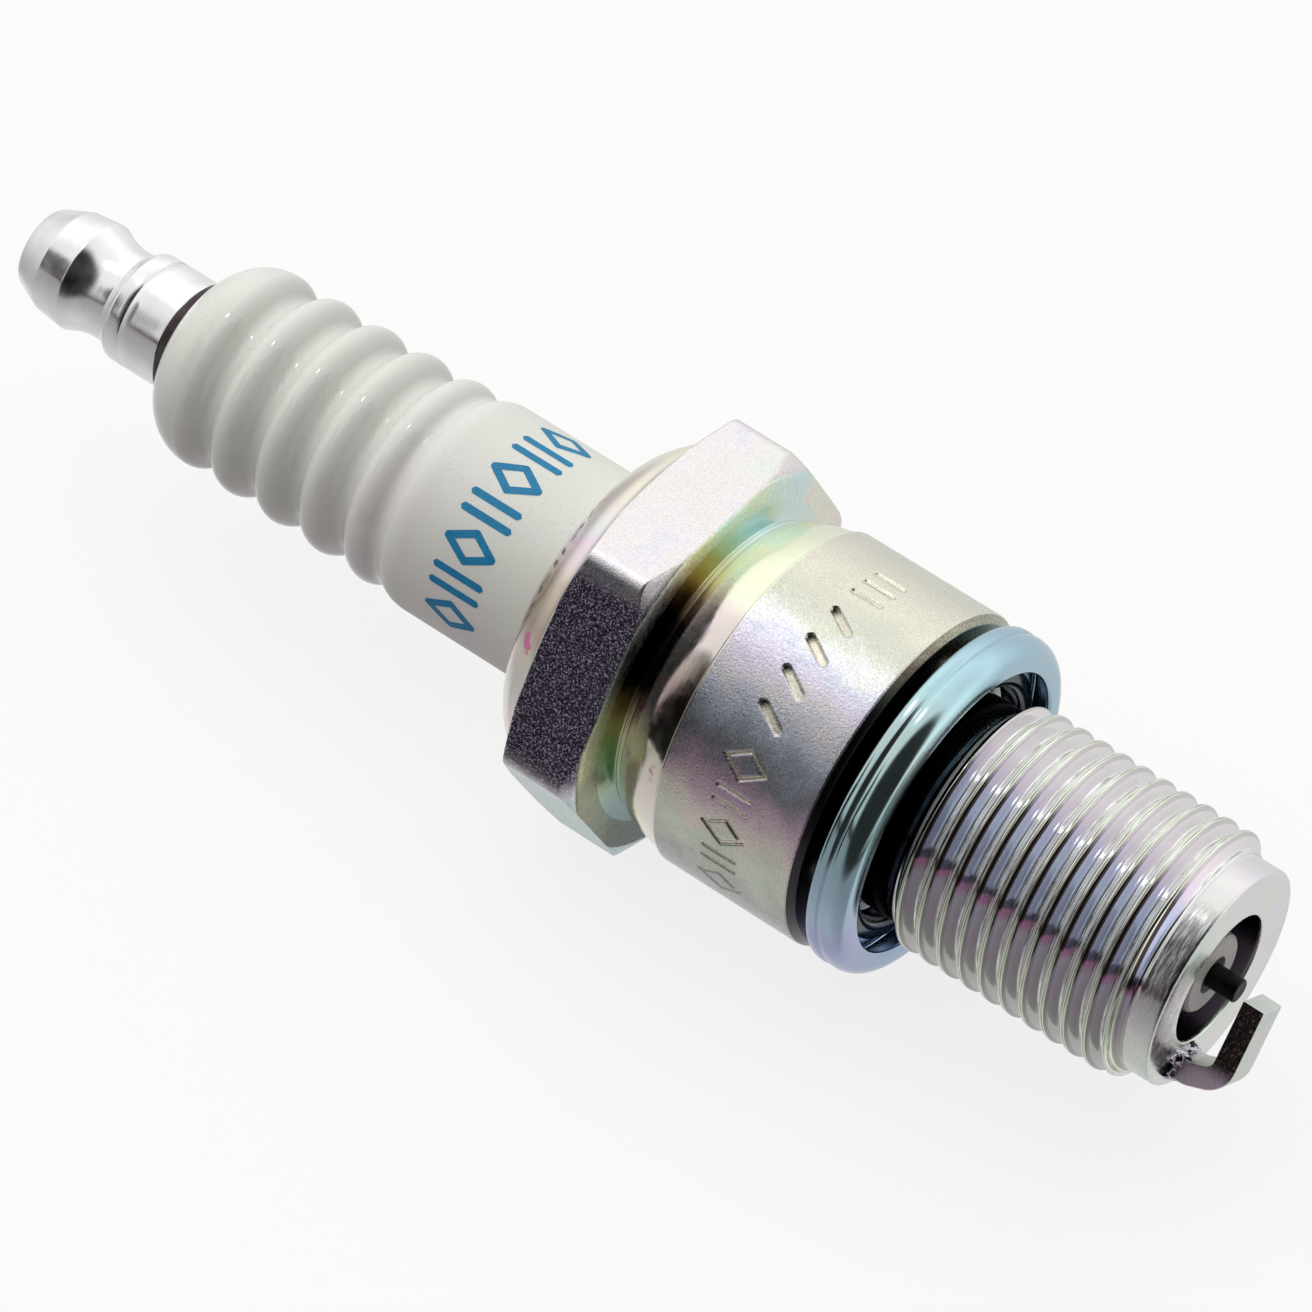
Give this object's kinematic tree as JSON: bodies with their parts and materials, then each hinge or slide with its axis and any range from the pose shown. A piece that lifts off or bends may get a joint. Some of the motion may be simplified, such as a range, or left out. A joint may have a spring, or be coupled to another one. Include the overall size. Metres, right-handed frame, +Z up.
{
  "type": "spark plug",
  "caption": "Gasket-seat spark plug with ribbed white insulator, hex shell with right-hand thread, crush gasket, screw-on terminal nut and bent ground electrode.",
  "frame": {"origin": "on the plug's axis, in the plane of the gasket seat", "axes": "+X along the plug towards the firing end, +Z up out of one flat of the hex"},
  "size_m": [0.078, 0.0238, 0.0208],
  "materials": {
    "plated_steel": "satin zinc plate",
    "glazed_alumina": "gloss glaze",
    "terminal_metal": "bright turned",
    "stud_steel": "turned",
    "gasket_steel": "bright zinc plate",
    "nickel_alloy": "satin",
    "copper": "plain",
    "seal_glass": "fused copper glass",
    "resistor_mix": "fused",
    "talc": "packed powder",
    "packing_steel": "plain"
  },
  "bodies": {
    "plug": {"shell": "plated_steel", "ground_electrode": "nickel_alloy", "insulator": "glazed_alumina", "terminal_stud": "stud_steel", "centre_electrode": "nickel_alloy", "electrode_core": "copper", "upper_glass_seal": "seal_glass", "resistor": "resistor_mix", "lower_glass_seal": "seal_glass", "seat_packing": "packing_steel", "lower_packing_ring": "packing_steel", "talc_ring": "talc", "upper_packing_ring": "packing_steel"},
    "terminal_nut": {"terminal_nut": "terminal_metal"},
    "gasket": {"gasket": "gasket_steel"}
  },
  "joints": [
    {"name": "terminal_nut_unscrew", "type": "slide", "parent": "plug", "child": "terminal_nut", "axis": [-1, 0, 0], "range_m": [0, 0.0072]},
    {"name": "gasket_slide", "type": "slide", "parent": "plug", "child": "gasket", "axis": [1, 0, 0], "range_m": [-0.0007, 0.0014]}
  ]
}
